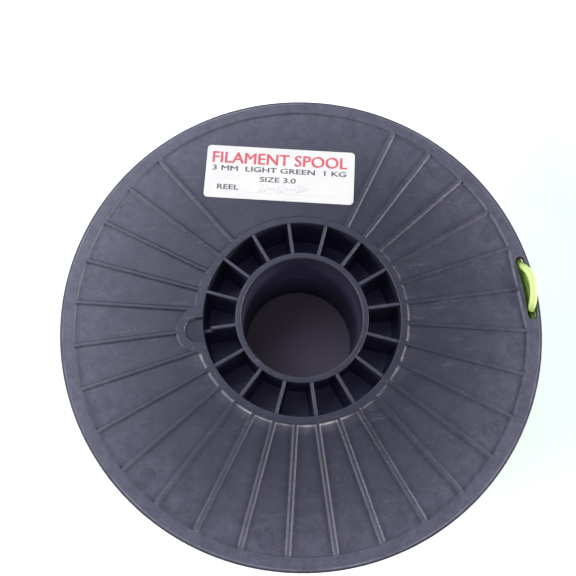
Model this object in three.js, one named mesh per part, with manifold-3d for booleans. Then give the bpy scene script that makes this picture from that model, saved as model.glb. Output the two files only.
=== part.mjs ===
// A full filament spool: a moulded reel in two like halves, filament wound between the flanges,
// its free end tucked into the slot in the upper flange, and a paper label.
// Millimetres, +Z up along the reel's axis, origin at the middle of the face it lies on.
// Each half is modelled with the joint between the halves at z = 0 and its flange above.

import * as THREE from 'three';
import { mergeVertices } from 'three/addons/utils/BufferGeometryUtils.js';
import Module from 'manifold-3d';

const wasm = await Module();
wasm.setup();

// Driving dimensions of the reel
const FLANGE_R = 101.6;
const HALF_WIDTH = 28.6;
const BORE_R = 25.75;
const TUBE_WALL = 2.5;
const BARREL_R = 45.4;
const BARREL_BORE_R = 42.05;
const HUB_RING_R = 44.1;
const RIM_RING_R = 96.1;
const RIM_FOOT_R = 95.5;
const FLANGE_T = 2.8;
const RELIEF = 1.0;
const JOINT_GAP = 0.3;
const JOINT_PLATE = 2.5;
const ROUND_STEPS = 72;
const WINDING_STEPS = 60;

// How far an added body reaches into its neighbour, and how far a cutter runs past the face it opens
const BITE = 0.5;
const CLEAR = 1;

// Webs between the bore tube and the barrel, and ribs on the flange's outer face
const WEB_COUNT = 16;
const WEB_T = 1.4;
const WEB_DROP = 0.2;
const RIB_PITCH = Math.PI / 16;
const RIB_W = 1.6;
const LABEL_PANEL = { from: 6, to: 10 };

// Slot for the filament's end, and the raised land around it
const SLOT_R = 98.1;
const SLOT_W = 4.2;
const SLOT_HALF_ANGLE = 8.25 * Math.PI / 180;
const LAND_X = 93.6;
const LAND_HALF_Y = 18.3;

// Round boss on the hub ring opposite the slot, its recess, and the notched web beside it
const BOSS_X = -42.9;
const BOSS_R = 10.4;
const RECESS_X = -44.6;
const RECESS_R = 5.1;
const RECESS_DEPTH = 1.8;
const NOTCH_LENGTH = 3.4;
const NOTCH_DEPTH = 5.4;

// Locating pegs on the joint plates: each peg meets a blind hole in the other half
const PEG_COUNT = 4;
const PEG_CIRCLE_R = 35;
const PEG_R = 2;
const PEG_CLEARANCE = 0.3;
const PEG_LENGTH = 1.4;
const PEG_HOLE_DEPTH = 1.9;

// Filament and winding. The outer layer's last turn lies in the corner under the upper flange.
const FILAMENT_D = 3;
const TURNS = 17;
const TURN_PITCH = 3.02;
const WINDING_R = 100.4;
const RIDGE_DEPTH = 0.9;
const FIT_GAP = 0.3;
const LAST_TURN_R = WINDING_R - FILAMENT_D / 2;
const LAST_TURN_Z = TURN_PITCH * (TURNS - 1) / 2;
const LAST_TURN = { from: 360.5, to: 15, step: 7.5 };
const SEAT_R = 96.5;
const TAIL_SIDES = 8;
const TAIL_STEPS = 260;

// Label
const LABEL = { length: 66.7, height: 25.4, thick: 0.15, corner: 1.8 };
const LABEL_PLACE = { x: -0.7, y: 66.1, turn: -10.9 * Math.PI / 180 };
const LABEL_GAP = 0.05;

const TOP = HALF_WIDTH;
const PANEL_Z = TOP - RELIEF;
const FLANGE_Z = TOP - FLANGE_T;
const TUBE_R = BORE_R + TUBE_WALL;
const JOINT_Z = JOINT_GAP / 2;
const PLATE_Z = JOINT_Z + JOINT_PLATE;

const black = new THREE.MeshStandardMaterial({ color: 0x1b1b1f, roughness: 0.62, metalness: 0 });
const green = new THREE.MeshStandardMaterial({ color: 0xb4d94a, roughness: 0.35, metalness: 0 });
const paper = new THREE.MeshStandardMaterial({ color: 0xf1f1ee, roughness: 0.85, metalness: 0 });

function toSolid(geometry) {
  const bare = geometry.clone();
  bare.deleteAttribute('normal');
  bare.deleteAttribute('uv');
  const merged = mergeVertices(bare, 1e-4);
  return new wasm.Manifold(new wasm.Mesh({
    numProp: 3,
    vertProperties: new Float32Array(merged.attributes.position.array),
    triVerts: new Uint32Array(merged.index.array),
  }));
}

function toGeometry(solid) {
  const mesh = solid.getMesh();
  const geometry = new THREE.BufferGeometry();
  geometry.setAttribute('position', new THREE.BufferAttribute(mesh.vertProperties, 3));
  geometry.setIndex(new THREE.BufferAttribute(mesh.triVerts, 1));
  geometry.computeVertexNormals();
  return geometry;
}

// A closed profile of [radius, z] points, run counter-clockwise, turned about Z
function turned(profile, steps = ROUND_STEPS) {
  const points = profile.map(([r, z]) => new THREE.Vector2(r, z));
  points.push(points[0].clone());
  return new THREE.LatheGeometry(points, steps).rotateX(Math.PI / 2);
}

// A bar along the radius at the given angle
function radialBar(angle, innerR, outerR, width, lowZ, highZ) {
  const bar = new THREE.BoxGeometry(outerR - innerR, width, highZ - lowZ);
  bar.translate((innerR + outerR) / 2, 0, (lowZ + highZ) / 2);
  return toSolid(bar.rotateZ(angle));
}

function disc(x, y, radius, lowZ, highZ, steps) {
  const rod = new THREE.CylinderGeometry(radius, radius, highZ - lowZ, steps);
  return toSolid(rod.rotateX(Math.PI / 2).translate(x, y, (lowZ + highZ) / 2));
}

function block(lowX, highX, lowY, highY, lowZ, highZ) {
  const box = new THREE.BoxGeometry(highX - lowX, highY - lowY, highZ - lowZ);
  return toSolid(box.translate((lowX + highX) / 2, (lowY + highY) / 2, (lowZ + highZ) / 2));
}

function reelProfile() {
  return [
    [BORE_R, JOINT_Z],
    [BARREL_R, JOINT_Z],
    [BARREL_R, FLANGE_Z],
    [FLANGE_R - 1.2, FLANGE_Z],
    [FLANGE_R - 0.3, FLANGE_Z + 0.5],
    [FLANGE_R, FLANGE_Z + 1.4],
    [FLANGE_R - 0.3, TOP - 0.4],
    [FLANGE_R - 1.1, TOP],
    [RIM_RING_R, TOP],
    [RIM_FOOT_R, PANEL_Z],
    [HUB_RING_R + 1.0, PANEL_Z],
    [HUB_RING_R + 0.3, PANEL_Z + 0.4],
    [HUB_RING_R, TOP],
    [BARREL_BORE_R, TOP],
    [BARREL_BORE_R, PLATE_Z],
    [TUBE_R, PLATE_Z],
    [TUBE_R, TOP],
    [BORE_R + 0.5, TOP],
    [BORE_R, TOP - 0.5],
  ];
}

function webs() {
  return Array.from({ length: WEB_COUNT }, (_, i) => {
    const angle = i * 2 * Math.PI / WEB_COUNT;
    return radialBar(angle, TUBE_R - BITE, BARREL_BORE_R + BITE, WEB_T, PLATE_Z - BITE, TOP - WEB_DROP);
  });
}

// Ribs stand level with the rings, all the way round but for the smooth panel that takes the label
function ribs() {
  const list = [];
  for (let i = 0; i < 2 * WEB_COUNT; i += 1) {
    const onLabelPanel = i >= LABEL_PANEL.from && i <= LABEL_PANEL.to;
    if (!onLabelPanel) {
      list.push(radialBar(i * RIB_PITCH, HUB_RING_R - BITE, RIM_RING_R + BITE, RIB_W, PANEL_Z - BITE, TOP));
    }
  }
  return list;
}

// An arc-shaped slot with round ends, cut right through the rim
function slotCutter() {
  const end = SLOT_HALF_ANGLE - SLOT_W / 2 / SLOT_R;
  const shape = new THREE.Shape();
  shape.absarc(0, 0, SLOT_R + SLOT_W / 2, -end, end, false);
  shape.absarc(SLOT_R * Math.cos(end), SLOT_R * Math.sin(end), SLOT_W / 2, end, end + Math.PI, false);
  shape.absarc(0, 0, SLOT_R - SLOT_W / 2, end, -end, true);
  shape.absarc(SLOT_R * Math.cos(end), -SLOT_R * Math.sin(end), SLOT_W / 2, Math.PI - end, 2 * Math.PI - end, false);
  const cutter = new THREE.ExtrudeGeometry(shape, { depth: FLANGE_T + 2 * CLEAR, bevelEnabled: false, curveSegments: 8 });
  return toSolid(cutter.translate(0, 0, FLANGE_Z - CLEAR));
}

// The boss stands around the outside of the hub ring only, so the barrel's pockets stay clear
function boss() {
  const round = disc(BOSS_X, 0, BOSS_R, PANEL_Z - BITE, TOP, 32);
  return round.subtract(disc(0, 0, BARREL_BORE_R + BITE, PANEL_Z - CLEAR, TOP + CLEAR, ROUND_STEPS));
}

// The recess is round on its outer side and runs straight in through the hub ring
function recessCutter() {
  const floor = TOP - RECESS_DEPTH;
  const round = disc(RECESS_X, 0, RECESS_R, floor, TOP + CLEAR, 32);
  return round.add(block(RECESS_X, -BARREL_BORE_R + CLEAR, -RECESS_R, RECESS_R, floor, TOP + CLEAR));
}

function webNotchCutter() {
  const wall = -BARREL_BORE_R;
  return block(wall + FIT_GAP, wall + NOTCH_LENGTH, -WEB_T, WEB_T, TOP - NOTCH_DEPTH, TOP + CLEAR);
}

function pegAngle(i) {
  return RIB_PITCH + i * 2 * Math.PI / PEG_COUNT;
}

function peg(i) {
  const x = PEG_CIRCLE_R * Math.cos(pegAngle(i));
  const y = PEG_CIRCLE_R * Math.sin(pegAngle(i));
  return disc(x, y, PEG_R, -PEG_LENGTH, PLATE_Z - BITE, 12);
}

// A half turned over about X brings its peg at +angle to the hole at -angle
function pegHole(i) {
  const x = PEG_CIRCLE_R * Math.cos(-pegAngle(i));
  const y = PEG_CIRCLE_R * Math.sin(-pegAngle(i));
  return disc(x, y, PEG_R + PEG_CLEARANCE, JOINT_Z - CLEAR, PEG_HOLE_DEPTH, 12);
}

function reelHalf() {
  let half = toSolid(turned(reelProfile()));
  const pegs = Array.from({ length: PEG_COUNT }, (_, i) => peg(i));
  const land = block(LAND_X, RIM_RING_R + BITE, -LAND_HALF_Y, LAND_HALF_Y, PANEL_Z - BITE, TOP);
  for (const added of [...webs(), ...ribs(), ...pegs, land, boss()]) {
    half = half.add(added);
  }
  const holes = Array.from({ length: PEG_COUNT }, (_, i) => pegHole(i));
  for (const cutter of [slotCutter(), recessCutter(), webNotchCutter(), ...holes]) {
    half = half.subtract(cutter);
  }
  return toGeometry(half);
}

// The whole winding as one ring, with a ridge for each turn of the outer layer and a seat for the last one
function windingRing() {
  const halfWidth = FLANGE_Z - FIT_GAP;
  const seatZ = LAST_TURN_Z - TURN_PITCH / 2 - FIT_GAP / 3;
  const profile = [[BARREL_R + FIT_GAP, halfWidth], [BARREL_R + FIT_GAP, -halfWidth]];
  profile.push([LAST_TURN_R, -halfWidth]);
  for (let i = 0; i < TURNS - 1; i += 1) {
    const ridgeZ = i * TURN_PITCH - LAST_TURN_Z;
    profile.push([WINDING_R, ridgeZ]);
    if (i < TURNS - 2) {
      profile.push([WINDING_R - RIDGE_DEPTH, ridgeZ + TURN_PITCH / 2]);
    }
  }
  profile.push([LAST_TURN_R, seatZ - FIT_GAP / 3], [SEAT_R, seatZ], [SEAT_R, halfWidth]);
  return toGeometry(toSolid(turned(profile, WINDING_STEPS)));
}

// The free end: angle in degrees, radius, and height above the flange's top face.
// It leaves the last turn, rises through the slot, arches out over the rim and comes back down into the slot.
const TAIL_ROUTE = [
  [12.5, 98.9, -4.44],
  [10.8, 98.95, -4.44],
  [9.4, 98.95, -4.44],
  [7.9, 98.8, -4.28],
  [6.8, 98.58, -3.05],
  [5.8, 98.5, -1.1],
  [4.9, 98.65, 0.7],
  [3.6, 99.05, 2.4],
  [1.9, 99.3, 3.1],
  [-0.1, 99.15, 3.2],
  [-1.9, 98.85, 2.8],
  [-3.4, 98.55, 1.9],
  [-4.5, 98.3, 0.6],
  [-5.3, 98.15, -0.8],
  [-5.7, 98.1, -1.6],
];

// The last turn and the free end, as points about the middle of the reel
function tailPoints() {
  const places = [];
  for (let degrees = LAST_TURN.from; degrees > LAST_TURN.to; degrees -= LAST_TURN.step) {
    places.push([degrees, LAST_TURN_R, LAST_TURN_Z - TOP]);
  }
  return [...places, ...TAIL_ROUTE].map(([degrees, radius, rise]) => {
    const angle = degrees * Math.PI / 180;
    return new THREE.Vector3(radius * Math.cos(angle), radius * Math.sin(angle), TOP + rise);
  });
}

function tailGeometry() {
  const route = new THREE.CatmullRomCurve3(tailPoints(), false, 'centripetal');
  const section = new THREE.Shape();
  for (let i = 0; i < TAIL_SIDES; i += 1) {
    const angle = i * 2 * Math.PI / TAIL_SIDES;
    const x = FILAMENT_D / 2 * Math.cos(angle);
    const y = FILAMENT_D / 2 * Math.sin(angle);
    if (i === 0) {
      section.moveTo(x, y);
    } else {
      section.lineTo(x, y);
    }
  }
  section.closePath();
  const tube = new THREE.ExtrudeGeometry(section, { steps: TAIL_STEPS, extrudePath: route, bevelEnabled: false });
  return toGeometry(toSolid(tube));
}

function labelGeometry() {
  const { length, height, thick, corner } = LABEL;
  const x = length / 2 - corner;
  const y = height / 2 - corner;
  const shape = new THREE.Shape();
  shape.absarc(x, y, corner, 0, Math.PI / 2, false);
  shape.absarc(-x, y, corner, Math.PI / 2, Math.PI, false);
  shape.absarc(-x, -y, corner, Math.PI, 1.5 * Math.PI, false);
  shape.absarc(x, -y, corner, 1.5 * Math.PI, 2 * Math.PI, false);
  return toGeometry(toSolid(new THREE.ExtrudeGeometry(shape, { depth: thick, bevelEnabled: false, curveSegments: 5 })));
}

function named(name, geometry, material) {
  const mesh = new THREE.Mesh(geometry, material);
  mesh.name = name;
  return mesh;
}

const half = reelHalf();
const upperHalf = named('upper_reel_half', half, black);
const lowerHalf = named('lower_reel_half', half.clone(), black.clone());
lowerHalf.rotation.x = Math.PI;

const label = named('label', labelGeometry(), paper);
label.position.set(LABEL_PLACE.x, LABEL_PLACE.y, PANEL_Z + LABEL_GAP);
label.rotation.z = LABEL_PLACE.turn;

const reel = new THREE.Group();
reel.position.z = HALF_WIDTH;
reel.add(upperHalf, lowerHalf, label);
reel.add(named('filament_winding', windingRing(), green));
reel.add(named('filament_tail', tailGeometry(), green.clone()));

const group = new THREE.Group();
group.add(reel);

export default group;
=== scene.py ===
"""A full spool of light green filament: a moulded reel in two like halves, one long strand wound
between the flanges with its end tucked through a slot, and a paper label. Lengths are in
millimetres and become metres where a mesh or curve is made. Heights inside a reel half are
measured from the joint between the halves, as in the CAD."""

import math
import random

import bpy
from mathutils import Matrix, Vector


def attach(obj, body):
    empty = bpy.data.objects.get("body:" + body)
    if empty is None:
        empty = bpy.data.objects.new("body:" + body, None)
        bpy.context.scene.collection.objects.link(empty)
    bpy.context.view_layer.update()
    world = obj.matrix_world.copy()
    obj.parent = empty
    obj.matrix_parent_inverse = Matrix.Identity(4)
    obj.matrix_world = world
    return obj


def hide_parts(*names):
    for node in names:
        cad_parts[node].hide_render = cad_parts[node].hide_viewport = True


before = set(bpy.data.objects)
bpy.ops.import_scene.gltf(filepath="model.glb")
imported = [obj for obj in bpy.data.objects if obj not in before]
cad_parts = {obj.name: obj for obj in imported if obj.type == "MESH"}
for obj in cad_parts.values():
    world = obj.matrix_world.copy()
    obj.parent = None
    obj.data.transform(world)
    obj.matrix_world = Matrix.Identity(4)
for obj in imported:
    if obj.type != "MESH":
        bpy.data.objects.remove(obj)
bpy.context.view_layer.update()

MM = 0.001

# Reel
FLANGE_R = 101.6
HALF_WIDTH = 28.6
FLANGE_T = 2.8
RELIEF = 1.0
BORE_R = 25.75
TUBE_R = 28.25
BARREL_BORE_R = 42.05
BARREL_R = 45.4
HUB_EDGE_R = 44.7
HUB_TOP_R = 43.2
RIM_EDGE_R = 96.25
LAND_EDGE_X = 94.1
LAND_R = 95.0
JOINT_Z = 0.15
PLATE_Z = 2.65
TOP = HALF_WIDTH
PANEL_Z = TOP - RELIEF
FLANGE_Z = TOP - FLANGE_T

RIB_COUNT = 32
RIB_PITCH = 2 * math.pi / RIB_COUNT
RIB_TOP_HALF = 0.35
LAND_HALF_ANGLE = RIB_PITCH - 0.002
SMOOTH_PANEL = range(6, 11)
WEB_COUNT = 16
WEB_TOP_HALF = 0.42
WEB_FOOT_HALF = 0.86
WEB_DROP = 0.2
WEB_ENDS = (TUBE_R - 0.9, BARREL_BORE_R + 0.9)

SLOT_R = 98.1
SLOT_HALF_WIDTH = 2.1
SLOT_HALF_ANGLE = math.radians(7.02)

BOSS_X = -42.9
BOSS_R = 9.8
BOSS_SINK = 0.004
RECESS_X = -44.6
RECESS_R = 4.85
RECESS_DEPTH = 1.8
RECESS_INNER_X = -39.5
NOTCH_LENGTH = 3.4
NOTCH_DEPTH = 5.4

PEG_COUNT = 4
PEG_R = 2.0
PEG_CLEARANCE = 0.3
PEG_CIRCLE_R = 35.0
PEG_LENGTH = 1.4
PEG_HOLE_DEPTH = 1.9

# Filament
FILAMENT_D = 3.0
LAYERS = 19
LAYER_TURNS = (17, 16)
FIRST_LAYER_R = 46.95
LAST_LAYER_R = 98.9
TURN_PITCH = 3.02
TURN_START = 0.5

# The layers where the middle and the outer cord start, and how many points their turns have
MIDDLE_FROM_LAYER = 9
OUTER_FROM_LAYER = 16
INNER_STEPS = 24
MIDDLE_STEPS = 32
OUTER_STEPS = 96

# The last turn, in degrees, and the spacing of points on the free end
LAST_TURN_END = 344
LAST_TURN_STEP = 4
TAIL_SPACING = 0.7

# How unevenly the turns lie: a turn's radius, and its crossover to the next turn, with its length
# and how long before the turn's end it is over, as shares of a turn. A crossing turn rides up.
RADIUS_SPREAD = 0.07
CROSSOVER_LENGTH = (0.08, 0.12)
CROSSOVER_EARLY = 0.42
EARLY_SPREAD = 0.02
LAST_LAYER_DRIFT = 0.025
CROSSOVER_LIFT = 0.3

# The last turns are pushed out under the slot: by how much, within what angles, and which turns
PUSH_OUT = 0.9
PUSH_ANGLE = 24
PUSH_FADE = 12
PUSH_FROM_R = 98
PUSH_FROM_HEIGHT = 19


def smooth(t):
    t = max(0.0, min(1.0, t))
    return t * t * (3 - 2 * t)


def lerp(a, b, t):
    return a + (b - a) * t


def polar(radius, angle, z):
    return Vector((radius * math.cos(angle), radius * math.sin(angle), z))


def arc(cx, cy, radius, start, end, steps):
    """Points on a circular arc, its ends included, angles in degrees."""
    turn = [math.radians(lerp(start, end, i / steps)) for i in range(steps + 1)]
    return [(cx + radius * math.cos(a), cy + radius * math.sin(a)) for a in turn]


def link(name, data, *materials):
    thing = bpy.data.objects.new(name, data)
    bpy.context.scene.collection.objects.link(thing)
    for material in materials:
        data.materials.append(material)
    return thing


def mesh_object(name, points, faces, *materials):
    mesh = bpy.data.meshes.new(name)
    mesh.from_pydata([Vector(p) * MM for p in points], [], faces)
    mesh.update()
    return link(name, mesh, *materials)


def grid_faces(rows, columns, wrap_rows, wrap_columns):
    """Quads over a grid of points stored row by row."""
    faces = []
    for i in range(rows if wrap_rows else rows - 1):
        for j in range(columns if wrap_columns else columns - 1):
            a, b = i * columns, (i + 1) % rows * columns
            k = (j + 1) % columns
            faces.append((a + j, a + k, b + k, b + j))
    return faces


def lofted(name, outlines):
    """A closed solid through outlines that have the same number of points."""
    count = len(outlines[0])
    points = [p for outline in outlines for p in outline]
    faces = grid_faces(len(outlines), count, False, True)
    last = (len(outlines) - 1) * count
    faces.append(tuple(reversed(range(count))))
    faces.append(tuple(last + i for i in range(count)))
    return mesh_object(name, points, faces)


def cylinder_like(name, x, y, profile, steps=64):
    """A round solid standing on (x, y) through (radius, z) rings, from the lowest up."""
    turn = [2 * math.pi * i / steps for i in range(steps)]
    rings = [[(x + r * math.cos(a), y + r * math.sin(a), z) for a in turn] for r, z in profile]
    return lofted(name, rings)


def join(name, things):
    """One mesh from several that don't touch."""
    points, faces = [], []
    for thing in things:
        start = len(points)
        points += [v.co / MM for v in thing.data.vertices]
        faces += [tuple(start + i for i in p.vertices) for p in thing.data.polygons]
        bpy.data.objects.remove(thing)
    return mesh_object(name, points, faces)


def bake_modifiers(thing):
    """The thing's mesh becomes what its modifiers make of it."""
    depsgraph = bpy.context.evaluated_depsgraph_get()
    mesh = bpy.data.meshes.new_from_object(thing.evaluated_get(depsgraph), depsgraph=depsgraph)
    thing.modifiers.clear()
    thing.data = mesh


def cut_or_add(target, tool, operation):
    """The tool, a closed solid, is cut from the target or added to it, and removed."""
    modifier = target.modifiers.new("boolean", "BOOLEAN")
    modifier.operation = operation
    modifier.solver = "MANIFOLD"
    modifier.object = tool
    bake_modifiers(target)
    bpy.data.objects.remove(tool)


# ---- camera ----

VIEW_AIM = Vector((-4.39, 12.08, 60.35)) * MM
VIEW_DISTANCE = 0.3010
VIEW_AZIMUTH = math.radians(10.47)
VIEW_TILT = math.radians(15.86)
VIEW_ROLL = math.radians(-2.90)
VIEW_LENS = 44.52


def make_camera():
    data = bpy.data.cameras.new("camera")
    data.lens = VIEW_LENS
    data.sensor_width = 36
    data.clip_start = 0.01
    camera = link("camera", data)
    turn = Matrix.Rotation(-VIEW_AZIMUTH, 3, "Z")
    forward = turn @ Vector((0, math.sin(VIEW_TILT), -math.cos(VIEW_TILT)))
    right = turn @ Vector((1, 0, 0))
    up = turn @ Vector((0, math.cos(VIEW_TILT), math.sin(VIEW_TILT)))
    across = math.cos(VIEW_ROLL) * right - math.sin(VIEW_ROLL) * up
    upright = math.sin(VIEW_ROLL) * right + math.cos(VIEW_ROLL) * up
    facing = Matrix((across, upright, -forward)).transposed()
    camera.matrix_world = Matrix.Translation(VIEW_AIM - VIEW_DISTANCE * forward) @ facing.to_4x4()
    bpy.context.scene.camera = camera


make_camera()

# ---- materials ----


class Nodes:
    """A material's node tree, with short calls for the nodes used here."""

    def __init__(self, name):
        self.material = bpy.data.materials.new(name)
        self.material.use_nodes = True
        self.tree = self.material.node_tree
        self.shader = self.tree.nodes["Principled BSDF"]
        self.place = self.tree.nodes.new("ShaderNodeTexCoord").outputs["Object"]

    def link(self, source, target):
        self.tree.links.new(source, target)

    def noise(self, scale, detail=3.0, roughness=0.5, stretch=None, distortion=0.0):
        node = self.tree.nodes.new("ShaderNodeTexNoise")
        node.inputs["Scale"].default_value = scale
        node.inputs["Detail"].default_value = detail
        node.inputs["Roughness"].default_value = roughness
        node.inputs["Distortion"].default_value = distortion
        self.link(self.stretched(stretch) if stretch else self.place, node.inputs["Vector"])
        return node.outputs["Fac"]

    def stretched(self, settings):
        """Place, scaled and then turned."""
        scale, turn = settings
        node = self.tree.nodes.new("ShaderNodeMapping")
        node.inputs["Scale"].default_value = scale
        node.inputs["Rotation"].default_value = turn
        self.link(self.place, node.inputs["Vector"])
        return node.outputs["Vector"]

    def from_axis(self):
        """Distance from the reel's axis, in metres."""
        flat = self.tree.nodes.new("ShaderNodeVectorMath")
        flat.operation = "MULTIPLY"
        flat.inputs[1].default_value = (1, 1, 0)
        length = self.tree.nodes.new("ShaderNodeVectorMath")
        length.operation = "LENGTH"
        self.link(self.place, flat.inputs[0])
        self.link(flat.outputs["Vector"], length.inputs[0])
        return length.outputs["Value"]

    def along(self, axis):
        """Place along one axis, in metres."""
        split = self.tree.nodes.new("ShaderNodeSeparateXYZ")
        self.link(self.place, split.inputs[0])
        return split.outputs[axis]

    def from_middle(self):
        """Distance up or down from the joint between the reel's halves, in metres."""
        absolute = self.tree.nodes.new("ShaderNodeMath")
        absolute.operation = "ABSOLUTE"
        self.link(self.math("SUBTRACT", self.along("Z"), HALF_WIDTH * MM), absolute.inputs[0])
        return absolute.outputs["Value"]

    def span(self, value, start, end):
        """0 at start and 1 at end, both in metres."""
        node = self.tree.nodes.new("ShaderNodeMapRange")
        node.inputs["From Min"].default_value = start
        node.inputs["From Max"].default_value = end
        self.link(value, node.inputs["Value"])
        return node.outputs["Result"]

    def band(self, value, start, full, fade, end):
        """1 from full to fade, and 0 before start and after end."""
        return self.times(self.span(value, start, full), self.span(value, end, fade))

    def specks(self, scale):
        """0 at the middle of each speck."""
        node = self.tree.nodes.new("ShaderNodeTexVoronoi")
        node.inputs["Scale"].default_value = scale
        self.link(self.place, node.inputs["Vector"])
        return node.outputs["Distance"]

    def ramp(self, source, *stops):
        """Stops are (position, colour or level) pairs. Too coarse for steps under about 4 mm."""
        node = self.tree.nodes.new("ShaderNodeValToRGB")
        elements = node.color_ramp.elements
        while len(elements) < len(stops):
            elements.new(0.5)
        for element, (position, colour) in zip(elements, stops):
            element.position = position
            if isinstance(colour, (int, float)):
                colour = (colour, colour, colour)
            element.color = (*colour, 1)
        self.link(source, node.inputs["Fac"])
        return node.outputs["Color"]

    def math(self, operation, a, b):
        node = self.tree.nodes.new("ShaderNodeMath")
        node.operation = operation
        for value, socket in ((a, node.inputs[0]), (b, node.inputs[1])):
            if isinstance(value, (int, float)):
                socket.default_value = value
            else:
                self.link(value, socket)
        return node.outputs["Value"]

    def times(self, a, b):
        return self.math("MULTIPLY", a, b)

    def plus(self, a, b):
        return self.math("ADD", a, b)

    def mix(self, factor, a, b):
        """From a at 0 to b at 1."""
        node = self.tree.nodes.new("ShaderNodeMix")
        node.data_type = "RGBA"
        self.link(factor, node.inputs["Factor"])
        for value, socket in ((a, node.inputs["A"]), (b, node.inputs["B"])):
            if isinstance(value, tuple):
                socket.default_value = (*value, 1)
            else:
                self.link(value, socket)
        return node.outputs["Result"]

    def bump(self, height, distance, strength=1.0, under=None):
        node = self.tree.nodes.new("ShaderNodeBump")
        node.inputs["Distance"].default_value = distance
        node.inputs["Strength"].default_value = strength
        self.link(height, node.inputs["Height"])
        if under is not None:
            self.link(under, node.inputs["Normal"])
        return node.outputs["Normal"]

    def put(self, **sockets):
        """Sets or links the shader's own sockets, with _ for a space in their names."""
        for name, value in sockets.items():
            socket = self.shader.inputs[name.replace("_", " ")]
            if isinstance(value, bpy.types.NodeSocket):
                self.link(value, socket)
            else:
                socket.default_value = value


# Where the plastic's tone, painted light, painted shade and painted highlights change, in metres.
# Distances from the axis:
POCKETS_R = (0.0270, 0.0280)
WEB_TOPS_R = (0.0283, 0.0290, 0.0410, 0.0420)
HUB_FOOT_R = (0.0452, 0.0455, 0.0460, 0.0463)
HUB_APRON_R = (0.0451, 0.0456, 0.0460, 0.0500)
RIM_SHOULDER_R = (0.1001, 0.1003, 0.1005, 0.1007)
RIM_EDGE_ROUND_R = (0.1007, 0.1011)
# heights from the joint between the halves:
OUTWARD_HEIGHT = (0.0269, 0.0275)
PANEL_HEIGHT = (0.0270, 0.0274, 0.0278, 0.0282)
# and places along Y:
FAR_WALL_LIGHT_Y = (0.016, 0.025)
HIGHLIGHT_SIDE_Y = (0.026, 0.012)

# Painted light deep in the bore, on the bore's far wall and in the pockets
BORE_PAINTED_LIGHT = (0.056, 0.053, 0.098)
FAR_WALL_PAINTED_LIGHT = (0.115, 0.113, 0.215)
POCKET_PAINTED_LIGHT = (0.116, 0.110, 0.210)
PALER_TONE = (0.132, 0.128, 0.168)
# Painted highlight on edges
HIGHLIGHT_TONE = (0.36, 0.35, 0.36)
SCUFF_TONE = (0.15, 0.15, 0.17)
DUST_TONE = (0.36, 0.36, 0.38)


def moulded_tone_and_painted_light(n, radius, level):
    """The bare plastic, with cloudy flow marks, and painted light that makes it paler deep down in
    the bore and pockets, paler on the bore's far wall than on its near wall.
    """
    cloud = n.noise(34, 5, 0.62, distortion=0.3)
    moulded = n.ramp(cloud, (0.32, (0.014, 0.0135, 0.024)), (0.68, (0.021, 0.0205, 0.034)))
    # Painted light: deep down in the bore and pockets the plastic is made paler and bluer, and on
    # the bore's far wall paler still
    deep_light = n.ramp(level, (0.006, 1.0), (0.025, 0.0))
    bore = n.mix(n.span(n.along("Y"), *FAR_WALL_LIGHT_Y), BORE_PAINTED_LIGHT, FAR_WALL_PAINTED_LIGHT)
    return n.mix(deep_light, moulded, n.mix(n.span(radius, *POCKETS_R), bore, POCKET_PAINTED_LIGHT))


def outward_paling(n, radius, outward):
    """How much paler the outward faces are made: more towards the rim and on the webs' tops, in
    patches, with painted shade that keeps the rim's rounded outer edge dark.
    """
    spread = n.ramp(
        radius, (0.046, 0.16), (0.056, 0.17), (0.075, 0.39), (0.090, 0.69), (0.102, 0.90)
    )
    web_tops = n.times(n.band(radius, *WEB_TOPS_R), 0.22)
    # Painted shade on the rim's rounded outer edge
    shaded_edge = n.ramp(n.span(radius, *RIM_EDGE_ROUND_R), (0.0, 1.0), (1.0, 0.2))
    uneven = n.ramp(n.noise(190, 9, 0.9), (0.36, 0.40), (0.64, 1.0))
    return n.times(n.times(outward, n.plus(spread, web_tops)), n.times(uneven, shaded_edge))


def painted_highlights(n, radius, level, outward):
    """Painted highlights along edges, in patches: the foot of the hub ring on its side towards -Y,
    and the rim's shoulder.
    """
    apron = n.times(n.band(radius, *HUB_APRON_R), 0.2)
    foot = n.plus(n.band(radius, *HUB_FOOT_R), apron)
    panel_side = n.times(n.band(level, *PANEL_HEIGHT), n.span(n.along("Y"), *HIGHLIGHT_SIDE_Y))
    shoulder = n.times(n.band(radius, *RIM_SHOULDER_R), n.times(outward, 0.5))
    in_places = n.ramp(n.noise(28, 4, 0.7), (0.42, 0.12), (0.58, 0.85))
    return n.times(n.plus(n.times(foot, panel_side), shoulder), in_places)


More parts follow.
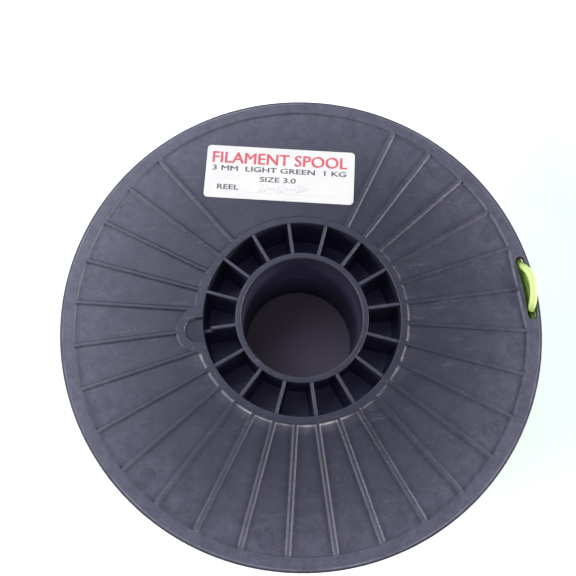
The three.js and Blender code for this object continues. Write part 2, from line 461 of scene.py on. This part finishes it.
def reel_material():
    """Matt black moulded plastic: fine grain, flow marks, paler outward faces, scuffs and dust,
    with painted highlights on edges, painted light deep in the bore and pockets and painted shade
    on the rim's outer edge.
    """
    n = Nodes("reel_plastic")
    radius = n.from_axis()
    level = n.from_middle()
    outward = n.span(level, *OUTWARD_HEIGHT)
    paled = n.mix(outward_paling(n, radius, outward), moulded_tone_and_painted_light(n, radius, level), PALER_TONE)
    # Painted highlights on the hub ring's foot and the rim's shoulder
    edge_lit = n.mix(painted_highlights(n, radius, level, outward), paled, HIGHLIGHT_TONE)
    streaks = n.noise(60, 6, 0.7, ((1.0, 7.0, 1.0), (0, 0, 0.6)), 0.4)
    scuffs = n.ramp(streaks, (0.58, 0.0), (0.74, 0.32))
    scuffs_and_painted_light = n.mix(n.times(outward, scuffs), edge_lit, SCUFF_TONE)
    dust = n.ramp(n.specks(520), (0.0, 0.8), (0.15, 0.0))
    patches = n.ramp(n.noise(45, 2), (0.48, 0.0), (0.62, 0.7))
    dust_and_painted_light = n.mix(n.times(n.times(dust, patches), outward), scuffs_and_painted_light, DUST_TONE)
    grain = n.noise(1700, 2, 0.5)
    wide = n.noise(120, 3, 0.5)
    n.put(
        Base_Color=dust_and_painted_light,
        Roughness=n.ramp(n.noise(38, 5, 0.6), (0.3, 0.27), (0.7, 0.40)),
        Normal=n.bump(grain, 0.00004, 0.5, n.bump(wide, 0.00012, 0.35)),
        Specular_IOR_Level=0.5,
    )
    return n.material


def filament_material():
    """Glossy light green strand, with painted shade that makes it deeper in colour where it is
    wound between the flanges.
    """
    n = Nodes("filament")
    free = n.ramp(n.noise(30, 3), (0.3, (0.63, 0.78, 0.25)), (0.7, (0.68, 0.82, 0.29)))
    # Painted shade: a darker copy of the green for the strand between the flanges
    painted_shade_green = n.ramp(n.noise(30, 3), (0.3, (0.21, 0.37, 0.043)), (0.7, (0.27, 0.44, 0.058)))
    out = n.ramp(n.from_middle(), (0.0272, 0.0), (0.0292, 1.0))
    n.put(
        Base_Color=n.mix(out, painted_shade_green, free),
        Roughness=n.ramp(n.noise(160, 4), (0.3, 0.26), (0.75, 0.42)),
        Normal=n.bump(n.noise(500, 3), 0.00005, 0.4),
        Subsurface_Weight=0.1,
        Subsurface_Radius=(0.6, 1.0, 0.3),
        Subsurface_Scale=0.0006,
    )
    return n.material


def paper_material():
    """Matt off-white paper, with fibres and a little uneven in tone."""
    n = Nodes("label_paper")
    tone = n.ramp(n.noise(70, 4), (0.3, (0.74, 0.72, 0.67)), (0.7, (0.80, 0.78, 0.71)))
    n.put(
        Base_Color=tone,
        Roughness=n.ramp(n.noise(300, 3), (0.3, 0.55), (0.7, 0.7)),
        Normal=n.bump(n.noise(900, 4), 0.00003, 0.5),
    )
    return n.material


def ink_material(name, dark, light):
    """Printed or written ink that covers the paper unevenly."""
    n = Nodes(name)
    n.put(Base_Color=n.ramp(n.noise(1500, 3, 0.6), (0.35, dark), (0.7, light)), Roughness=0.7)
    return n.material


PLASTIC = reel_material()
GREEN = filament_material()
PAPER = paper_material()
RED_INK = ink_material("red_ink", (0.60, 0.07, 0.09), (0.72, 0.17, 0.19))
BLACK_INK = ink_material("black_ink", (0.06, 0.06, 0.07), (0.16, 0.16, 0.175))
PEN_INK = ink_material("pen_ink", (0.52, 0.52, 0.53), (0.66, 0.66, 0.65))

# ---- filament ----

# The free end: angle in degrees, radius, and height above the upper flange's top face
TAIL_ROUTE = [
    (12.5, 98.9, -4.44),
    (10.8, 98.95, -4.44),
    (9.4, 98.95, -4.44),
    (7.9, 98.8, -4.28),
    (6.8, 98.58, -3.05),
    (5.8, 98.5, -1.1),
    (4.9, 98.65, 0.7),
    (3.6, 99.05, 2.4),
    (1.9, 99.3, 3.1),
    (-0.1, 99.15, 3.2),
    (-1.9, 98.85, 2.8),
    (-3.4, 98.55, 1.9),
    (-4.5, 98.3, 0.6),
    (-5.3, 98.15, -0.8),
    (-5.7, 98.1, -1.6),
]


def through(points, spacing):
    """A centripetal Catmull-Rom curve through the points, sampled about every spacing."""
    ends = [2 * points[0] - points[1], *points, 2 * points[-1] - points[-2]]
    line = []
    for a, b, c, d in zip(ends, ends[1:], ends[2:], ends[3:]):
        t1 = (b - a).length ** 0.5
        t2 = t1 + (c - b).length ** 0.5
        t3 = t2 + (d - c).length ** 0.5
        steps = max(1, round((c - b).length / spacing))
        for i in range(steps):
            t = lerp(t1, t2, i / steps)
            ab = a.lerp(b, t / t1)
            bc = b.lerp(c, (t - t1) / (t2 - t1))
            cd = c.lerp(d, (t - t2) / (t3 - t2))
            abc = ab + (bc - ab) * (t / t2)
            bcd = bc + (cd - bc) * ((t - t1) / (t3 - t1))
            line.append(abc.lerp(bcd, (t - t1) / (t2 - t1)))
    return [*line, points[-1]]


def turn_places():
    """For each turn, layer by layer: radius, height from the middle, and the crossover to the next
    turn, as shares of a turn: its length and how far before the turn's end it is over."""
    draw = random.Random(11)
    layers = []
    for n in range(LAYERS):
        count = LAYER_TURNS[n % 2]
        heights = [(i - (count - 1) / 2) * TURN_PITCH for i in range(count)]
        if n % 2:
            heights.reverse()
        radius = lerp(FIRST_LAYER_R, LAST_LAYER_R, n / (LAYERS - 1))
        layer = []
        for k, z in enumerate(heights):
            drift = LAST_LAYER_DRIFT * k * (n == LAYERS - 1)
            early = CROSSOVER_EARLY + draw.uniform(-EARLY_SPREAD, EARLY_SPREAD) - drift
            placed = radius + draw.uniform(-RADIUS_SPREAD, RADIUS_SPREAD)
            layer.append((placed, z, draw.uniform(*CROSSOVER_LENGTH), early))
        layers.append(layer)
    layers[-1][-2] = (*layers[-1][-2][:2], 0.02, 0.0)
    layers[-1][-1] = (LAST_LAYER_R, *layers[-1][-1][1:])
    return layers


def wound(turns, per_turn):
    """Points along the strand through the turns, each one level but for its crossover.
    The last turn given only says where the strand goes next."""
    line = []
    for (radius, z, crossing, early), (next_radius, next_z, *_) in zip(turns, turns[1:]):
        for j in range(per_turn):
            f = j / per_turn
            t = smooth((f - 1 + crossing + early) / crossing)
            angle = math.radians(TURN_START) - 2 * math.pi * f
            lifted = lerp(radius, next_radius, t) + CROSSOVER_LIFT * math.sin(math.pi * t)
            line.append(polar(lifted, angle, HALF_WIDTH + lerp(z, next_z, t)))
    return line


def pushed_out(point):
    """The last turns lie a little further out where they pass under the slot."""
    angle = math.degrees(math.atan2(point.y, point.x))
    inner = point.xy.length < PUSH_FROM_R or point.z < HALF_WIDTH + PUSH_FROM_HEIGHT
    if inner or abs(angle) > PUSH_ANGLE:
        return point
    outward = Vector((point.x, point.y, 0)).normalized()
    return point + outward * PUSH_OUT * smooth((PUSH_ANGLE - abs(angle)) / PUSH_FADE)


def strand(name, line, sides):
    """A round strand along the line, with that many sides or a few more."""
    data = bpy.data.curves.new(name, "CURVE")
    data.dimensions = "3D"
    data.bevel_depth = FILAMENT_D / 2 * MM
    data.bevel_resolution = sides // 2 - 1
    data.use_fill_caps = True
    spline = data.splines.new("POLY")
    spline.points.add(len(line) - 1)
    for point, place in zip(spline.points, line):
        point.co = (*(place * MM), 1)
    spline.use_smooth = True
    thing = link(name, data, GREEN)
    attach(thing, "root")
    return thing


def make_filament():
    """One long strand, as three cords that follow on from each other."""
    layers = turn_places()
    turns = [turn for layer in layers for turn in layer]
    middle = sum(map(len, layers[:MIDDLE_FROM_LAYER]))
    outer = sum(map(len, layers[:OUTER_FROM_LAYER]))
    inner_line = wound(turns[: middle + 1], INNER_STEPS)
    middle_line = wound(turns[middle : outer + 1], MIDDLE_STEPS)
    outer_line = wound(turns[outer:], OUTER_STEPS)
    radius, z, *_ = turns[-1]
    for a in range(0, LAST_TURN_END, LAST_TURN_STEP):
        outer_line.append(polar(radius, math.radians(TURN_START - a), HALF_WIDTH + z))
    outer_line = [pushed_out(point) for point in outer_line]
    tail = [polar(r, math.radians(a), 2 * HALF_WIDTH + rise) for a, r, rise in TAIL_ROUTE]
    outer_line = outer_line[:-1] + through([outer_line[-1], *tail], TAIL_SPACING)
    lines = (("filament_inner_layers", inner_line, 6, "object"),
             ("filament_middle_layers", middle_line, 6, "object"),
             ("filament_outer_layers", outer_line, 12, "bare"))
    for name, line, sides, far_end in lines:
        thing = strand(name, line, sides)
        if far_end == "bare":
            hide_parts("filament_winding", "filament_tail")


make_filament()

# ---- reel ----

# How finely the reel's panels are divided: along a panel, and round from one rib to the next
PANEL_STEPS = 12
GAP_STEPS = 5

# Edges between smooth faces that meet at more than this angle stay sharp
PLASTIC_SHARP = math.radians(38)
PAPER_SHARP = math.radians(50)
WEIGHT_OF_LARGE_FACES = 80

# A moulded edge in section: distance out from where the top starts to round over, and height share
EDGE = ((0.0, 1.0), (0.12, 0.985), (0.24, 0.94), (0.35, 0.85), (0.44, 0.72), (0.51, 0.50),
        (0.58, 0.28), (0.67, 0.15), (0.78, 0.06), (0.90, 0.015), (1.05, 0.0))


def reel_columns():
    """Columns of the reel's grid: the angle of a rib and the offset across it, the same for the
    next rib, how far the column lies from the one to the other, and its share of a rib's height."""
    ribs = [i for i in range(RIB_COUNT) if i not in SMOOTH_PANEL]
    right = [(RIB_TOP_HALF + out, share) for out, share in EDGE]
    left = [(-offset, share) for offset, share in reversed(right)]
    foot = right[-1][0]
    columns = []
    for k, rib in enumerate(ribs):
        gap = (ribs[(k + 1) % len(ribs)] - rib) % RIB_COUNT
        here, there = rib * RIB_PITCH, (rib + gap) * RIB_PITCH
        for offset, share in [*left, (0.0, 1.0), *right]:
            columns.append((here, offset, here, offset, 0.0, share))
        steps = GAP_STEPS * gap
        for i in range(1, steps):
            columns.append((here, foot, there, -foot, i / steps, 0.0))
    return columns


def column_angle(column, radius):
    """The column's angle where it crosses a radius."""
    here, offset, there, other, t, _ = column
    return lerp(here + math.asin(offset / radius), there + math.asin(other / radius), t)


def rim_edge(column):
    """Where the rim ring's top ends on its inner side: a straight line beside the slot."""
    angle = (column_angle(column, LAND_R) + math.pi) % (2 * math.pi) - math.pi
    return LAND_EDGE_X / math.cos(angle) if abs(angle) < LAND_HALF_ANGLE else RIM_EDGE_R


def plain(points):
    """Rows of the grid that are the same all round, from (radius, height) points."""
    return [("plain", r, z) for r, z in points]


def reel_rows():
    """The reel half's closed section, from the bore along the joint face, out, up, in and down.
    Its corners are rounded, and its long faces have rows of points between their ends."""
    rows = plain([(BORE_R + 0.3, JOINT_Z), (35.0, JOINT_Z), (BARREL_R - 0.3, JOINT_Z)])
    rows += plain([(BARREL_R, JOINT_Z + 0.3)])
    rows += plain([(BARREL_R, 13.0), *arc(BARREL_R + 0.8, FLANGE_Z - 0.8, 0.8, 180, 90, 4)])
    rows += plain([(60.0, FLANGE_Z), (75.0, FLANGE_Z), (90.0, FLANGE_Z)])
    rows += plain(arc(FLANGE_R - 0.7, FLANGE_Z + 0.7, 0.7, -90, 0, 6))
    rows += plain(arc(FLANGE_R - 0.35, TOP - 0.35, 0.35, 0, 90, 6))
    rows += plain([(99.9, TOP), (98.6, TOP), (97.4, TOP)])
    rows += [("rim", out, share) for out, share in EDGE]
    rows += [("panel", t / PANEL_STEPS, 0.0) for t in range(PANEL_STEPS - 1, 0, -1)]
    rows += [("hub", out, share) for out, share in reversed(EDGE)]
    rows += plain([(HUB_TOP_R, TOP), *arc(BARREL_BORE_R + 0.3, TOP - 0.3, 0.3, 90, 180, 4)])
    rows += plain([(BARREL_BORE_R, 20.0), (BARREL_BORE_R, 11.0)])
    rows += plain(arc(BARREL_BORE_R - 0.6, PLATE_Z + 0.6, 0.6, 0, -90, 3))
    rows += plain([(38.0, PLATE_Z), (32.0, PLATE_Z)])
    rows += plain(arc(TUBE_R + 0.6, PLATE_Z + 0.6, 0.6, 270, 180, 3))
    rows += plain([(TUBE_R, 11.0), (TUBE_R, 20.0), *arc(TUBE_R - 0.3, TOP - 0.3, 0.3, 0, 90, 4)])
    rows += plain([(27.1, TOP), *arc(BORE_R + 0.5, TOP - 0.5, 0.5, 90, 180, 5)])
    rows += plain([(BORE_R, 19.0), (BORE_R, 9.0), (BORE_R, JOINT_Z + 0.3)])
    return rows


def reel_body():
    """The section turned round the axis, with its ribs, as one closed mesh."""
    columns, rows, points = reel_columns(), reel_rows(), []
    hub_foot = HUB_EDGE_R + EDGE[-1][0]
    for kind, a, b in rows:
        for column in columns:
            rib_share = column[-1]
            if kind == "plain":
                radius, z = a, b
            else:
                edge = rim_edge(column)
                between = lerp(hub_foot, edge - EDGE[-1][0], a)
                radius = {"rim": edge - a, "hub": HUB_EDGE_R + a, "panel": between}[kind]
                z = PANEL_Z + RELIEF * (1 - (1 - b) * (1 - rib_share))
            points.append(polar(radius, column_angle(column, radius), z))
    return mesh_object("reel_half", points, grid_faces(len(rows), len(columns), True, True))


def webs():
    """Sixteen drafted webs with rounded tops, from the bore tube to the barrel."""
    foot, half, top = WEB_FOOT_HALF, WEB_TOP_HALF, TOP - WEB_DROP
    side = [(foot + 0.5, PLATE_Z - 0.4), (foot + 0.42, PLATE_Z + 0.08), (foot + 0.1, PLATE_Z + 0.5)]
    side += [(lerp(foot, half + 0.25, 0.5), 14.0), (half + 0.25, top - 0.3)]
    side += [(half + 0.2, top - 0.12), (half + 0.08, top - 0.02), (half - 0.1, top)]
    outline = side + [(-y, z) for y, z in reversed(side)]
    made = []
    for i in range(WEB_COUNT):
        turn = Matrix.Rotation(2 * math.pi * i / WEB_COUNT, 3, "Z")
        near, far = ([turn @ Vector((x, y, z)) for y, z in outline] for x in WEB_ENDS)
        made.append(lofted(f"web_{i}", [near, far]))
    return join("webs", made)


def slot_outline(out, z):
    """The slot's outline, grown by out: an arc-shaped channel with round ends."""
    half, middle = SLOT_HALF_WIDTH + out, math.degrees(SLOT_HALF_ANGLE)
    tip = polar(SLOT_R, SLOT_HALF_ANGLE, 0)
    flat = arc(0, 0, SLOT_R + half, -middle, middle, 14)
    flat += arc(tip.x, tip.y, half, middle, middle + 180, 12)[1:]
    flat += arc(0, 0, SLOT_R - half, middle, -middle, 14)[1:]
    flat += arc(tip.x, -tip.y, half, 180 - middle, 360 - middle, 12)[1:-1]
    return [(x, y, z) for x, y in flat]


def slot_cutter():
    """Straight through the flange, opening out a little at both faces."""
    levels = ((0.9, FLANGE_Z - 0.65), (0.3, FLANGE_Z - 0.05), (0.08, FLANGE_Z + 0.1),
              (0.0, FLANGE_Z + 0.35), (0.0, TOP - 0.35), (0.08, TOP - 0.1), (0.3, TOP + 0.05),
              (0.9, TOP + 0.65))
    return lofted("slot_cutter", [slot_outline(out, z) for out, z in levels])


def boss():
    """A round boss on the hub ring, cut back to the barrel's bore."""
    rings = [(BOSS_R + EDGE[-1][0], PANEL_Z - 0.6), (BOSS_R + EDGE[-1][0], PANEL_Z - BOSS_SINK)]
    rings += [(BOSS_R + out, PANEL_Z + RELIEF * share) for out, share in reversed(EDGE[:-1])]
    body = cylinder_like("boss", BOSS_X, 0, rings, 96)
    wall = ((0.0, PANEL_Z - 2), (0.0, TOP - 0.3), (0.09, TOP - 0.09), (0.3, TOP), (1.3, TOP + 1))
    bore = cylinder_like("bore", 0, 0, [(BARREL_BORE_R + out, z) for out, z in wall], 540)
    cut_or_add(body, bore, "DIFFERENCE")
    return body


def recess_cutter():
    """Round on its outer side, then straight in through the hub ring, with softened edges."""
    base = TOP - RECESS_DEPTH
    levels = ((-0.5, base), (-0.15, base + 0.12), (0.0, base + 0.45), (0.12, TOP - 0.45),
              (0.2, TOP - 0.2), (0.42, TOP - 0.03), (1.2, TOP + 0.6))
    outlines = []
    for out, z in levels:
        half = RECESS_R + out
        flat = arc(RECESS_X, 0, half, 90, 270, 28)
        flat += [(RECESS_INNER_X, -half), (RECESS_INNER_X, half)]
        outlines.append([(x, y, z) for x, y in flat])
    return lofted("recess_cutter", outlines)


def notch_cutter():
    """Cuts down the web beside the boss, from the barrel's bore inwards."""
    wall = -BARREL_BORE_R + 0.02
    outlines = []
    for out, z in ((0.0, TOP - NOTCH_DEPTH), (0.0, TOP - 0.5), (0.5, TOP + 0.5)):
        end = wall + NOTCH_LENGTH + out
        outlines.append([(wall, -3, z), (end, -3, z), (end, 3, z), (wall, 3, z)])
    return lofted("notch_cutter", outlines)


# Shallow round marks that the mould's ejector pins leave, by angle in degrees
PIN_MARKS = (16.9, 39.4, 140.6, 163.1, 196.9, 219.4, 253.1, 286.9, 320.6, 343.1)
PIN_MARK_R = 3.4
PIN_CIRCLE_R = 90.4


def pin_marks():
    """Cutters for the marks, which are 0.16 mm deep."""
    made = []
    for i, degrees in enumerate(PIN_MARKS):
        place = polar(PIN_CIRCLE_R, math.radians(degrees), 0)
        rings = [(PIN_MARK_R - 0.25, PANEL_Z - 0.16), (PIN_MARK_R, PANEL_Z - 0.12)]
        rings += [(PIN_MARK_R + 0.12, PANEL_Z + 0.2)]
        made.append(cylinder_like(f"mark_{i}", place.x, place.y, rings, 40))
    return join("pin_marks", made)


def pegs(sign, radius, low, high, name):
    """A ring of round pegs. The other sign mirrors it, so that the pegs of each half meet the
    holes of the other."""
    made = []
    for i in range(PEG_COUNT):
        place = polar(PEG_CIRCLE_R, sign * (RIB_PITCH + 2 * math.pi * i / PEG_COUNT), 0)
        rings = [(radius - 0.25, low), (radius, low + 0.3)]
        rings += [(radius, high - 0.3), (radius - 0.25, high)]
        made.append(cylinder_like(f"{name}_{i}", place.x, place.y, rings, 24))
    return join(name, made)


def shade_smooth(mesh, sharp):
    """Smooth shading, but for edges sharper than the angle."""
    for polygon in mesh.polygons:
        polygon.use_smooth = True
    mesh.set_sharp_from_angle(angle=sharp)


def finish_plastic(thing):
    """Smooth shading that keeps flat faces flat and edges crisp."""
    shade_smooth(thing.data, PLASTIC_SHARP)
    weighted = thing.modifiers.new("weighted", "WEIGHTED_NORMAL")
    weighted.keep_sharp = True
    weighted.weight = WEIGHT_OF_LARGE_FACES
    bake_modifiers(thing)


def make_reel():
    """The upper half, and the same moulding turned over as the lower half."""
    half = reel_body()
    cut_or_add(half, webs(), "UNION")
    cut_or_add(half, boss(), "UNION")
    cut_or_add(half, pegs(1, PEG_R, -PEG_LENGTH, PLATE_Z - 0.5, "peg"), "UNION")
    for cutter in (slot_cutter(), recess_cutter(), notch_cutter(), pin_marks(),
                   pegs(-1, PEG_R + PEG_CLEARANCE, JOINT_Z - 1, PEG_HOLE_DEPTH, "hole")):
        cut_or_add(half, cutter, "DIFFERENCE")
    half.data.materials.clear()
    half.data.materials.append(PLASTIC)
    finish_plastic(half)
    up = Matrix.Translation((0, 0, HALF_WIDTH * MM))
    lower = link("reel_lower", half.data.copy())
    half.name = "reel_upper"
    half.data.transform(up)
    lower.data.transform(up @ Matrix.Rotation(math.pi, 4, "X"))
    for thing, node in ((half, "upper_reel_half"), (lower, "lower_reel_half")):
        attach(thing, "root")
        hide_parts(node)


make_reel()

# ---- label ----

LABEL_LENGTH = 66.7
LABEL_HEIGHT = 25.4
LABEL_CORNER = 1.8
LABEL_THICK = 0.12
LABEL_MIDDLE = Vector((-0.7, 66.1, HALF_WIDTH + PANEL_Z + 0.02))
LABEL_TURN = math.radians(-10.9)
LABEL_PLACE = Matrix.Translation(LABEL_MIDDLE * MM) @ Matrix.Rotation(LABEL_TURN, 4, "Z")

# How high the paper lifts at its edges and at two corners, and how far from there
EDGE_LIFT = 0.04
EDGE_REACH = 2.2
CORNER_LIFT = 0.16
CORNER_REACH = 9
OTHER_CORNER_LIFT = 0.12
OTHER_CORNER_REACH = 7


def label_lift(x, y):
    """How high the paper stands off the panel at a place on the label."""
    half_x, half_y = LABEL_LENGTH / 2, LABEL_HEIGHT / 2
    near_edge = smooth(1 - min(half_x - abs(x), half_y - abs(y)) / EDGE_REACH)
    corner = smooth(1 - math.dist((x, y), (-half_x, -half_y)) / CORNER_REACH)
    other = smooth(1 - math.dist((x, y), (half_x, half_y)) / OTHER_CORNER_REACH)
    uneven = 1 + 0.5 * math.sin(x * 0.7 + y)
    return EDGE_LIFT * near_edge * uneven + CORNER_LIFT * corner + OTHER_CORNER_LIFT * other


def label_ring(inset, z):
    """The label's outline, moved in by inset and bent as the label is."""
    half_x, half_y = LABEL_LENGTH / 2 - inset, LABEL_HEIGHT / 2 - inset
    corner = max(0.15, LABEL_CORNER - inset)
    flat_x, flat_y = half_x - corner, half_y - corner
    sides = ((1, 1, (-flat_x, half_y), 40), (-1, 1, (-half_x, -flat_y), 16),
             (-1, -1, (flat_x, -half_y), 40), (1, -1, (half_x, flat_y), 16))
    points = []
    for k, (sx, sy, end, steps) in enumerate(sides):
        turn = arc(sx * flat_x, sy * flat_y, corner, 90 * k, 90 * k + 90, 6)
        points += turn
        for i in range(1, steps):
            points.append(tuple(lerp(a, b, i / steps) for a, b in zip(turn[-1], end)))
    return [(x, y, z + label_lift(x, y)) for x, y in points]


def make_label():
    """The sheet, in rings from the middle of its back round the edge to the middle of its face."""
    insets = (11.8, 10, 8.5, 7, 5.8, 4.6, 3.6, 2.7, 2.0, 1.4, 0.8, 0.3)
    levels = [(inset, 0) for inset in insets] + [(0.03, 0.005), (0, 0.03), (0, LABEL_THICK - 0.03)]
    levels += [(0.03, LABEL_THICK - 0.005)] + [(inset, LABEL_THICK) for inset in reversed(insets)]
    sheet = lofted("label_sheet", [label_ring(inset, z) for inset, z in levels])
    sheet.data.materials.append(PAPER)
    shade_smooth(sheet.data, PAPER_SHARP)
    sheet.data.transform(LABEL_PLACE)
    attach(sheet, "root")
    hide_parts("label")


# The height of a capital as a share of the font's size, half the print's thickness, its height
# above the paper, and how much higher each pass lies
CAPITAL_SHARE = 0.73
PRINT_THICK = 0.006
PRINT_HEIGHT = 0.02
PASS_RISE = 0.004


def printed(name, words, height, x, y, ink, width, bold):
    """A line of print on the label. Its capitals are height tall, and it starts at x on the line y.
    It is printed in three passes, bold apart from side to side, to make its strokes heavier."""
    data = bpy.data.curves.new(name, "FONT")
    data.body = words
    data.size = height / CAPITAL_SHARE * MM
    data.extrude = PRINT_THICK * MM
    data.resolution_u = 4
    thing = link(name, data)
    bpy.context.view_layer.update()
    depsgraph = bpy.context.evaluated_depsgraph_get()
    mesh = bpy.data.meshes.new_from_object(thing.evaluated_get(depsgraph), depsgraph=depsgraph)
    bpy.data.objects.remove(thing)
    low = min(v.co.x for v in mesh.vertices)
    high = max(v.co.x for v in mesh.vertices)
    stretch = width * MM / (high - low)
    points, faces = [], []
    for step in (-1, 0, 1):
        start = len(points)
        for v in mesh.vertices:
            px = (v.co.x - low) * stretch / MM + x + bold * step
            py = v.co.y / MM + y + 0.5 * bold * step
            above = LABEL_THICK + PRINT_HEIGHT + PASS_RISE * step
            points.append((px, py, v.co.z / MM + above + label_lift(px, py)))
        faces += [tuple(start + i for i in p.vertices) for p in mesh.polygons]
    made = mesh_object(name, points, faces, ink)
    made.data.transform(LABEL_PLACE)
    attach(made, "root")


PEN_SPACING = 0.35
PEN_TOP = 0.015
PEN_BOTTOM = 0.002


def pen_line(name, points, width, ink):
    """A thin flat stroke drawn on the label through the points."""
    line = through([Vector((x, y, 0)) for x, y in points], PEN_SPACING)
    left, right = [], []
    for i, p in enumerate(line):
        along = (line[min(i + 1, len(line) - 1)] - line[max(i - 1, 0)]).normalized()
        side = Vector((-along.y, along.x, 0)) * width / 2
        left.append(p + side)
        right.append(p - side)

    def row(points, z):
        return [(p.x, p.y, LABEL_THICK + z + label_lift(p.x, p.y)) for p in points]

    rows = row(left, PEN_TOP) + row(right, PEN_TOP) + row(right, PEN_BOTTOM) + row(left, PEN_BOTTOM)
    count = len(line)
    start = (0, count, 2 * count, 3 * count)
    end = (4 * count - 1, 3 * count - 1, 2 * count - 1, count - 1)
    faces = grid_faces(4, count, True, False) + [start, end]
    stroke = mesh_object(name, rows, faces, ink)
    stroke.data.transform(LABEL_PLACE)
    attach(stroke, "root")


make_label()
printed("print_heading", "FILAMENT SPOOL", 5.6, -30.6, 4.4, RED_INK, 60.6, 0.17)
printed("print_size", "3 MM  LIGHT GREEN  1 KG", 2.5, -30.4, 0.6, BLACK_INK, 60.0, 0.10)
printed("print_number", "SIZE 3.0", 2.5, -8.8, -4.0, BLACK_INK, 16.0, 0.10)
printed("print_reel", "REEL", 2.5, -27.6, -8.5, BLACK_INK, 9.5, 0.10)
pen_line("reel_rule", [(-16.5, -9.4), (-2, -9.4), (12, -9.4), (26.5, -9.4)], 0.12, PEN_INK)

# Faint pen loops above the rule, like a quick flourish: no letters
LOOP_HEIGHTS = (2.0, 1.9, 0.6, 0.3, 1.1, 2.1, 0.7, 0.4, 0.5, 1.8, 1.2, 0.5)
LOOP_STEPS = 12


def flourish():
    """A row of loops of different heights, leaning and drifting to the right."""
    points = []
    for i in range(LOOP_STEPS * len(LOOP_HEIGHTS)):
        t = i / LOOP_STEPS
        height = LOOP_HEIGHTS[int(t)]
        turn = 2 * math.pi * t
        x = -9 + 1.9 * t + (0.5 + 0.3 * height) * math.sin(turn) - 0.25 * height * math.cos(turn)
        points.append((x, -7.2 + 0.05 * t - height * math.cos(turn)))
    return points


pen_line("pen_flourish", flourish(), 0.2, PEN_INK)

# ---- floor and light ----

FLOOR_HALF = 3000
FLOOR_Z = -0.05
SKY_STRENGTH = 0.74
REEL_MIDDLE = (0, 0, 0.03)


def make_floor():
    """A plain pale floor, with a painted shadow under the reel and a painted glow round it, less so
    to its right, where it is painted in shade.
    """
    n = Nodes("floor")
    tone = n.ramp(n.noise(6, 2), (0.3, (0.90, 0.91, 0.93)), (0.7, (0.93, 0.93, 0.94)))
    # Painted shadow under the reel, and round it a painted glow that fades towards its right
    away = n.ramp(n.from_axis(), (0.070, 0.0), (0.094, 1.0))
    right = n.span(n.along("X"), 0.03, 0.15)
    outside = n.span(n.from_axis(), 0.094, 0.105)
    glow = n.times(outside, n.ramp(right, (0.0, 0.3), (1.0, 0.0)))
    shaded = n.mix(right, tone, (0.84, 0.90, 0.93))
    n.put(
        Base_Color=n.mix(away, (0.27, 0.22, 0.25), shaded),
        Roughness=0.9,
        Emission_Color=(1.0, 1.0, 1.0, 1.0),
        Emission_Strength=glow,
    )
    corners = ((-1, -1), (1, -1), (1, 1), (-1, 1))
    points = [(x * FLOOR_HALF, y * FLOOR_HALF, FLOOR_Z) for x, y in corners]
    mesh_object("floor", points, [(0, 1, 2, 3)], n.material)


def make_light(name, place, aim, width, height, power, colour):
    """A rectangular light, in metres and watts, turned towards aim."""
    data = bpy.data.lights.new(name, "AREA")
    data.shape = "RECTANGLE"
    data.size = width
    data.size_y = height
    data.energy = power
    data.color = colour
    light = link(name, data)
    turn = (Vector(aim) - Vector(place)).to_track_quat("-Z", "Y")
    light.matrix_world = Matrix.Translation(place) @ turn.to_matrix().to_4x4()


def make_world():
    """Bright all round and dim overhead, as under a person leaning over a table by a window."""
    world = bpy.data.worlds.new("world")
    bpy.context.scene.world = world
    world.use_nodes = True
    tree = world.node_tree
    place = tree.nodes.new("ShaderNodeTexCoord").outputs["Generated"]
    split = tree.nodes.new("ShaderNodeSeparateXYZ")
    ramp = tree.nodes.new("ShaderNodeValToRGB")
    stops = ((0.0, (0.84, 0.85, 0.88)), (0.35, (0.74, 0.75, 0.82)), (0.6, (0.44, 0.44, 0.54)),
             (0.8, (0.36, 0.355, 0.46)), (0.95, (0.38, 0.37, 0.52)))
    while len(ramp.color_ramp.elements) < len(stops):
        ramp.color_ramp.elements.new(0.5)
    for element, (position, colour) in zip(ramp.color_ramp.elements, stops):
        element.position = position
        element.color = (*colour, 1)
    background = tree.nodes["Background"]
    background.inputs["Strength"].default_value = SKY_STRENGTH
    tree.links.new(place, split.inputs[0])
    tree.links.new(split.outputs["Z"], ramp.inputs["Fac"])
    tree.links.new(ramp.outputs["Color"], background.inputs["Color"])


make_floor()
make_world()
make_light("right_window", (1.18, -0.21, 0.50), REEL_MIDDLE, 1.1, 0.36, 20.5, (1.0, 0.99, 0.97))
make_light("left_window", (-1.19, -0.04, 0.50), REEL_MIDDLE, 1.1, 0.36, 15.5, (1.0, 0.99, 0.98))
make_light("far_window", (-0.46, 0.64, 1.15), REEL_MIDDLE, 1.1, 1.1, 8.2, (0.72, 0.82, 1.0))

settings = bpy.context.scene.view_settings
settings.view_transform = "Standard"
settings.look = "None"
